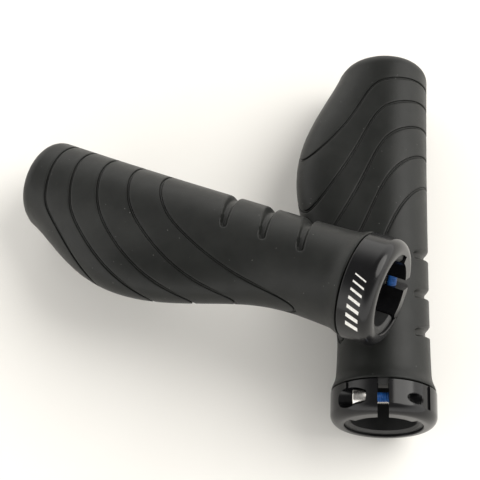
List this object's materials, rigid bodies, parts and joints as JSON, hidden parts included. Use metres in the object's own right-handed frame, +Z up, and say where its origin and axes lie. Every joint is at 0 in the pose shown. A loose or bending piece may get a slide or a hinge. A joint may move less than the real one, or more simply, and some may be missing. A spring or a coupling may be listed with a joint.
{
  "type": "handlebar grip pair",
  "caption": "Mirrored ergonomic lock-on handlebar grips with palm wings, grooved rubber sleeves and slotted clamp rings, lying one across the other.",
  "frame": {"origin": "the centre of the pair's bounding box, on the surface that the grips lie on", "axes": "+Z up from the surface. +Y along the right grip's bar axis towards its closed outboard end. +X to the side that the right grip's fingers-side faces"},
  "size_m": [0.149, 0.1398, 0.0691],
  "materials": {
    "sleeve_rubber": "matte moulded black rubber with a faint sheen",
    "core_plastic": "moulded dark grey nylon",
    "clamp_aluminium": "gloss black anodised aluminium",
    "bolt_steel": "nickel plated steel",
    "thread_lock": "blue nylon thread-locking patch"
  },
  "bodies": {
    "right_grip": {"right_rubber_sleeve": "sleeve_rubber", "right_core": "core_plastic"},
    "right_clamp": {"right_clamp_ring": "clamp_aluminium"},
    "right_bolt_travel": {"right_thread_lock_patch": "thread_lock"},
    "right_bolt": {"right_clamp_bolt": "bolt_steel"},
    "left_grip": {"left_rubber_sleeve": "sleeve_rubber", "left_core": "core_plastic"},
    "left_clamp": {"left_clamp_ring": "clamp_aluminium"},
    "left_bolt_travel": {"left_thread_lock_patch": "thread_lock"},
    "left_bolt": {"left_clamp_bolt": "bolt_steel"}
  },
  "joints": [
    {"name": "left_grip_lift", "type": "slide", "parent": "right_grip", "child": "left_grip", "axis": [0, 0, 1], "range_m": [0, 0.06]},
    {"name": "right_clamp_slide", "type": "slide", "parent": "right_grip", "child": "right_clamp", "axis": [0, -0.9999, 0.0101], "range_m": [0, 0.02]},
    {"name": "right_bolt_travel", "type": "slide", "parent": "right_clamp", "child": "right_bolt_travel", "axis": [-0.9923, -0.0013, -0.1236], "range_m": [0, 0.0056]},
    {"name": "right_bolt_turn", "type": "hinge", "parent": "right_bolt_travel", "child": "right_bolt", "pos_m": [0.0549, -0.06391, 0.03139], "axis": [-0.9923, -0.0013, -0.1236], "range_deg": [0, 2880]},
    {"name": "left_clamp_slide", "type": "slide", "parent": "left_grip", "child": "left_clamp", "axis": [0.8848, -0.3792, 0.2709], "range_m": [0, 0.02]},
    {"name": "left_bolt_travel", "type": "slide", "parent": "left_clamp", "child": "left_bolt_travel", "axis": [0.0905, 0.7101, 0.6982], "range_m": [0, 0.0056]},
    {"name": "left_bolt_turn", "type": "hinge", "parent": "left_bolt_travel", "child": "left_bolt", "pos_m": [0.05627, -0.02589, 0.04212], "axis": [0.0905, 0.7101, 0.6982], "range_deg": [0, 2880]}
  ],
  "couplings": [
    {"joint": "right_bolt_turn", "follows": "right_bolt_travel", "rad_per_m": 8975.9},
    {"joint": "left_bolt_turn", "follows": "left_bolt_travel", "rad_per_m": 8975.9}
  ]
}
